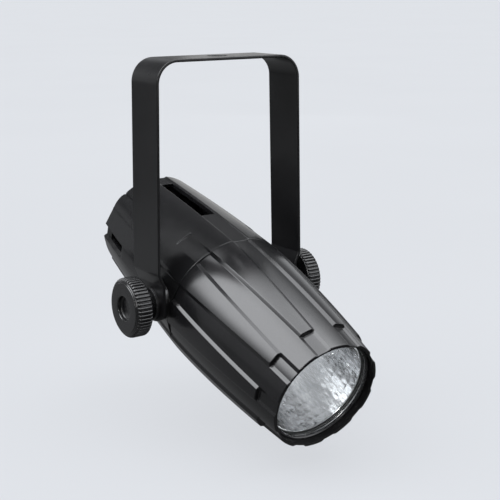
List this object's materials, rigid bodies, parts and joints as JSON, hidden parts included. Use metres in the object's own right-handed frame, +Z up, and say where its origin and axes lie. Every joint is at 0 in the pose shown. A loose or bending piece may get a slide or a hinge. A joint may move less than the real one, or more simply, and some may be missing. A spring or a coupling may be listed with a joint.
{
  "type": "stage spotlight",
  "caption": "Compact narrow-beam stage spotlight: fluted black lamp head with a recessed lens, tilting in a U-shaped strap yoke between knurled thumb knobs.",
  "frame": {"origin": "centre of the yoke's hanging hole, at mid-thickness of the strap", "axes": "+Z up along the hanging hole, X along the tilt axis, the lamp shines towards -Y and down"},
  "size_m": [0.115, 0.1818, 0.1813],
  "materials": {
    "yoke_paint": "satin black powder coat",
    "zinc_steel": "zinc-plated satin",
    "washer_black": "black-plated steel",
    "shell_black": "satin black moulded polymer with a fine texture",
    "cover_black": "fine-textured black",
    "lens_glass": "clear polished",
    "ring_black": "semi-gloss black",
    "silicone": "matt",
    "reflector_metal": "vacuum-metallised, lightly hammered",
    "white_nylon": "matt white",
    "phosphor": "clear dome over yellow phosphor",
    "white_board": "white solder mask",
    "pad_grey": "soft grey-blue",
    "alloy": "as-cast satin",
    "tray_grey": "matt",
    "board_green": "green solder mask",
    "winding": "taped winding and ferrite",
    "copper_wire": "enamelled copper",
    "can_blue": "sleeved can",
    "chip_black": "moulded package",
    "block_green": "moulded nylon",
    "inlet_black": "semi-gloss",
    "brass": "machined",
    "lead_brown": "insulated wire",
    "lead_red": "insulated wire",
    "rubber_black": "matt",
    "knob_black": "satin moulded knob"
  },
  "bodies": {
    "yoke": {"yoke": "yoke_paint", "knob_washers": "washer_black"},
    "head": {"front_barrel": "shell_black", "rear_housing": "shell_black", "rear_cover": "cover_black", "lens": "lens_glass", "lens_ring": "ring_black", "lens_gasket": "silicone", "reflector": "reflector_metal", "led_holder": "white_nylon", "led_emitter": "phosphor", "led_board": "white_board", "thermal_pad": "pad_grey", "led_screws": "zinc_steel", "heat_sink": "alloy", "heat_sink_screws": "zinc_steel", "housing_screws": "zinc_steel", "rear_cover_screws": "zinc_steel", "driver_tray": "tray_grey", "tray_screws": "zinc_steel", "driver_board": "board_green", "board_screws": "zinc_steel", "driver_transformer": "winding", "driver_choke": "copper_wire", "driver_capacitors": "can_blue", "driver_chip": "chip_black", "mains_terminal_block": "block_green", "power_inlet": "inlet_black", "inlet_pins": "brass", "mains_leads": "lead_brown", "led_leads": "lead_red", "pivot_bushes": "brass", "friction_washers": "rubber_black"},
    "left_knob": {"left_knob": "knob_black", "left_stud": "zinc_steel"},
    "right_knob": {"right_knob": "knob_black", "right_stud": "zinc_steel"}
  },
  "joints": [
    {"name": "tilt", "type": "hinge", "parent": "yoke", "child": "head", "pos_m": [0, 0, -0.12195], "axis": [1, 0, 0], "continuous": true},
    {"name": "left_knob_turn", "type": "hinge", "parent": "head", "child": "left_knob", "pos_m": [-0.05, 0, -0.12195], "axis": [-1, 0, 0], "continuous": true},
    {"name": "right_knob_turn", "type": "hinge", "parent": "head", "child": "right_knob", "pos_m": [0.05, 0, -0.12195], "axis": [1, 0, 0], "continuous": true}
  ]
}
